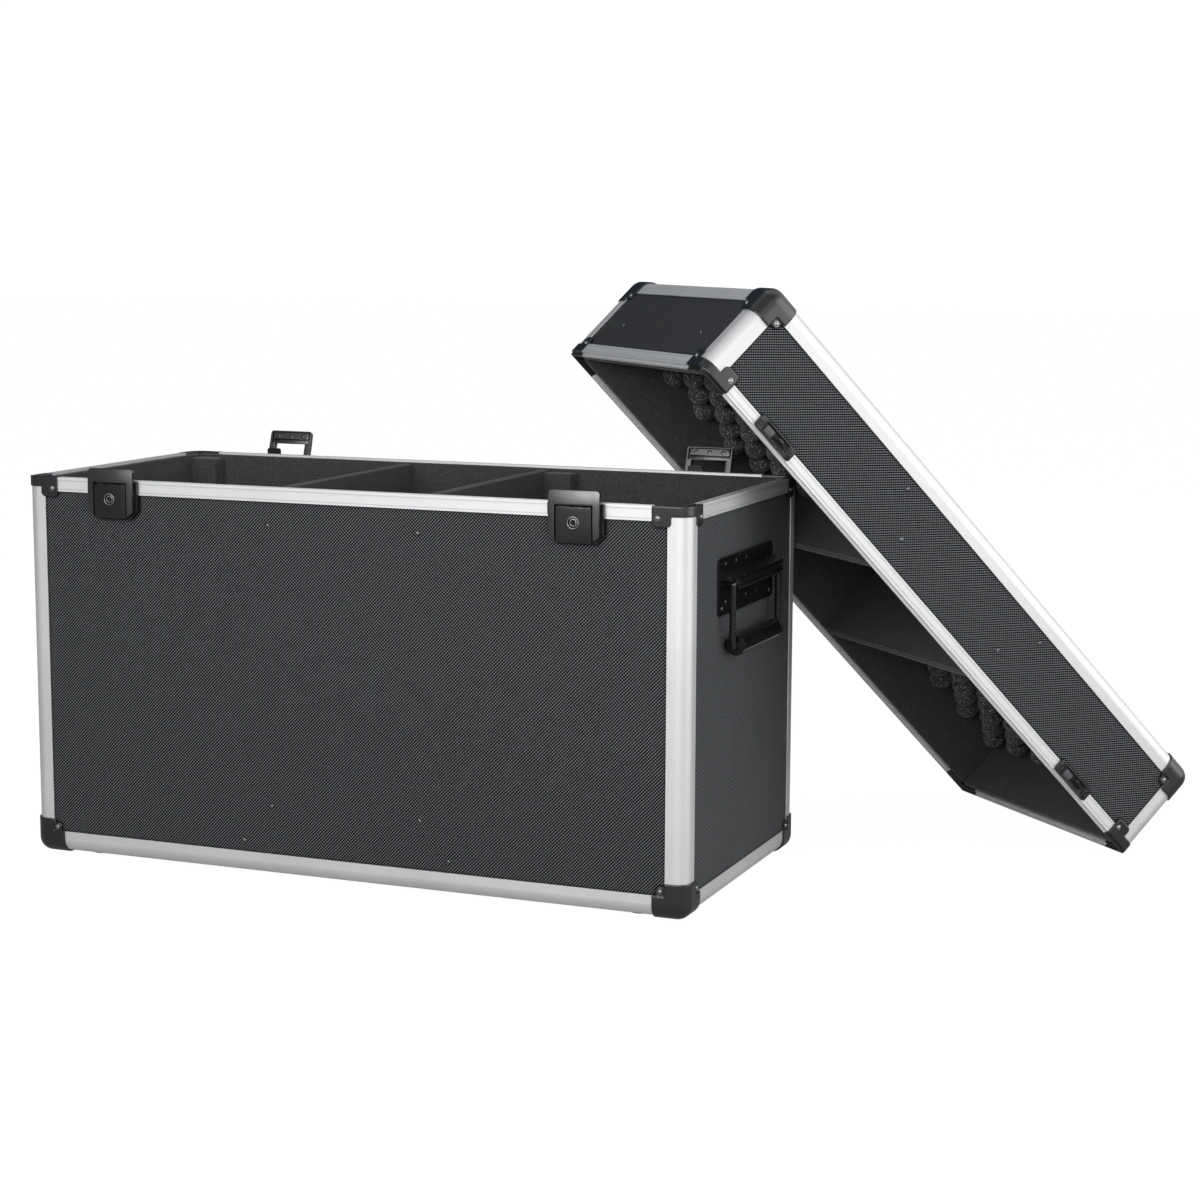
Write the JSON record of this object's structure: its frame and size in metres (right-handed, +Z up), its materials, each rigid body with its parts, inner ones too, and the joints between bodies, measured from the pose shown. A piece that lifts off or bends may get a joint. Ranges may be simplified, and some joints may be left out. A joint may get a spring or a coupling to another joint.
{
  "type": "flight case",
  "caption": "Long flight case: open padded base with dividers, butterfly-style draw latches and end handles, and its loose shallow foam-lined lid leaning on a corner of it.",
  "frame": {"origin": "on the floor, under the middle of the bounding box of the base and the leaning lid together", "axes": "+X along the base towards the end beside which the lid leans, -Y out of the base's front, +Z up"},
  "size_m": [1.2466, 0.8071, 0.6576],
  "materials": {
    "laminate_board": "satin",
    "aluminium_profile": "satin",
    "lining_foam": "matte",
    "knobbed_foam": "matte",
    "foot_rubber": "matte",
    "steel_fixings": "satin",
    "lock_metal": "satin",
    "bail_wire": "gloss",
    "grip_plastic": "satin",
    "black_plastic": "satin"
  },
  "bodies": {
    "case": {"base_front_panel": "laminate_board", "base_rear_panel": "laminate_board", "base_left_panel": "laminate_board", "base_right_panel": "laminate_board", "base_bottom_panel": "laminate_board", "base_posts": "aluminium_profile", "base_lower_rails": "aluminium_profile", "base_rim_rails": "aluminium_profile", "base_ball_corners": "black_plastic", "base_rim_corners": "black_plastic", "base_fixings": "steel_fixings", "feet": "foot_rubber", "floor_pad": "lining_foam", "base_lining": "lining_foam", "divider_left": "lining_foam", "divider_right": "lining_foam", "foam_blocks": "lining_foam", "handle_right_plate": "black_plastic", "handle_left_plate": "black_plastic", "front_left_mount": "black_plastic", "front_right_mount": "black_plastic", "rear_left_mount": "black_plastic", "rear_right_mount": "black_plastic", "latch_pins": "steel_fixings"},
    "right_handle": {"handle_right_bail": "bail_wire", "handle_right_grip": "grip_plastic"},
    "left_handle": {"handle_left_bail": "bail_wire", "handle_left_grip": "grip_plastic"},
    "front_left_lever_body": {"front_left_lever": "black_plastic"},
    "front_left_hook_body": {"front_left_hook": "black_plastic"},
    "front_left_lock_body": {"front_left_lock": "lock_metal"},
    "front_right_lever_body": {"front_right_lever": "black_plastic"},
    "front_right_hook_body": {"front_right_hook": "black_plastic"},
    "front_right_lock_body": {"front_right_lock": "lock_metal"},
    "rear_left_lever_body": {"rear_left_lever": "black_plastic"},
    "rear_left_hook_body": {"rear_left_hook": "black_plastic"},
    "rear_left_lock_body": {"rear_left_lock": "lock_metal"},
    "rear_right_lever_body": {"rear_right_lever": "black_plastic"},
    "rear_right_hook_body": {"rear_right_hook": "black_plastic"},
    "rear_right_lock_body": {"rear_right_lock": "lock_metal"},
    "lid": {"lid_top_panel": "laminate_board", "lid_front_panel": "laminate_board", "lid_rear_panel": "laminate_board", "lid_upper_panel": "laminate_board", "lid_lower_panel": "laminate_board", "lid_posts": "aluminium_profile", "lid_top_rails": "aluminium_profile", "lid_rim_rails": "aluminium_profile", "lid_ball_corners": "black_plastic", "lid_rim_corners": "black_plastic", "lid_fixings": "steel_fixings", "lid_strikes": "black_plastic", "lid_lining": "lining_foam", "lid_divider_upper": "lining_foam", "lid_divider_lower": "lining_foam", "knob_foam_upper": "knobbed_foam", "knob_foam_lower": "knobbed_foam"}
  },
  "joints": [
    {"name": "lid_lift", "type": "slide", "parent": "case", "child": "lid", "axis": [0, 0, 1], "range_m": [0, 0.5]},
    {"name": "front_left_lever_swing", "type": "hinge", "parent": "case", "child": "front_left_lever_body", "pos_m": [-0.48522, -0.39872, 0.434], "axis": [-1, 0, 0], "range_deg": [0, 75]},
    {"name": "front_left_hook_turn", "type": "hinge", "parent": "front_left_lever_body", "child": "front_left_hook_body", "pos_m": [-0.48522, -0.39812, 0.414], "axis": [-1, 0, 0], "range_deg": [-93.75, 0]},
    {"name": "front_left_lock_turn", "type": "hinge", "parent": "front_left_lever_body", "child": "front_left_lock_body", "pos_m": [-0.48522, -0.39952, 0.4185], "axis": [0, -1, 0], "range_deg": [0, 90]},
    {"name": "front_right_lever_swing", "type": "hinge", "parent": "case", "child": "front_right_lever_body", "pos_m": [0.07479, -0.39872, 0.434], "axis": [-1, 0, 0], "range_deg": [0, 75]},
    {"name": "front_right_hook_turn", "type": "hinge", "parent": "front_right_lever_body", "child": "front_right_hook_body", "pos_m": [0.07479, -0.39812, 0.414], "axis": [-1, 0, 0], "range_deg": [-93.75, 0]},
    {"name": "front_right_lock_turn", "type": "hinge", "parent": "front_right_lever_body", "child": "front_right_lock_body", "pos_m": [0.07479, -0.39952, 0.4185], "axis": [0, -1, 0], "range_deg": [0, 90]},
    {"name": "rear_left_lever_swing", "type": "hinge", "parent": "case", "child": "rear_left_lever_body", "pos_m": [-0.48122, -0.02032, 0.434], "axis": [1, 0, 0], "range_deg": [-75, 0]},
    {"name": "rear_left_hook_turn", "type": "hinge", "parent": "rear_left_lever_body", "child": "rear_left_hook_body", "pos_m": [-0.48122, -0.00115, 0.42824], "axis": [1, 0, 0], "range_deg": [0, 93.75]},
    {"name": "rear_left_lock_turn", "type": "hinge", "parent": "rear_left_lever_body", "child": "rear_left_lock_body", "pos_m": [-0.48122, -0.00514, 0.43076], "axis": [0, 0.2588, 0.9659], "range_deg": [0, 90]},
    {"name": "rear_right_lever_swing", "type": "hinge", "parent": "case", "child": "rear_right_lever_body", "pos_m": [0.07878, -0.02032, 0.434], "axis": [1, 0, 0], "range_deg": [-75, 0]},
    {"name": "rear_right_hook_turn", "type": "hinge", "parent": "rear_right_lever_body", "child": "rear_right_hook_body", "pos_m": [0.07878, -0.00115, 0.42824], "axis": [1, 0, 0], "range_deg": [0, 93.75]},
    {"name": "rear_right_lock_turn", "type": "hinge", "parent": "rear_right_lever_body", "child": "rear_right_lock_body", "pos_m": [0.07878, -0.00514, 0.43076], "axis": [0, 0.2588, 0.9659], "range_deg": [0, 90]},
    {"name": "right_handle_swing", "type": "hinge", "parent": "case", "child": "right_handle", "pos_m": [0.21028, -0.20952, 0.3465], "axis": [0, -1, 0], "range_deg": [0, 90]},
    {"name": "left_handle_swing", "type": "hinge", "parent": "case", "child": "left_handle", "pos_m": [-0.61272, -0.20952, 0.3465], "axis": [0, 1, 0], "range_deg": [0, 90]}
  ],
  "couplings": [
    {"joint": "front_left_hook_turn", "follows": "front_left_lever_swing", "ratio": -1.25},
    {"joint": "front_right_hook_turn", "follows": "front_right_lever_swing", "ratio": -1.25},
    {"joint": "rear_left_hook_turn", "follows": "rear_left_lever_swing", "ratio": -1.25},
    {"joint": "rear_right_hook_turn", "follows": "rear_right_lever_swing", "ratio": -1.25}
  ]
}
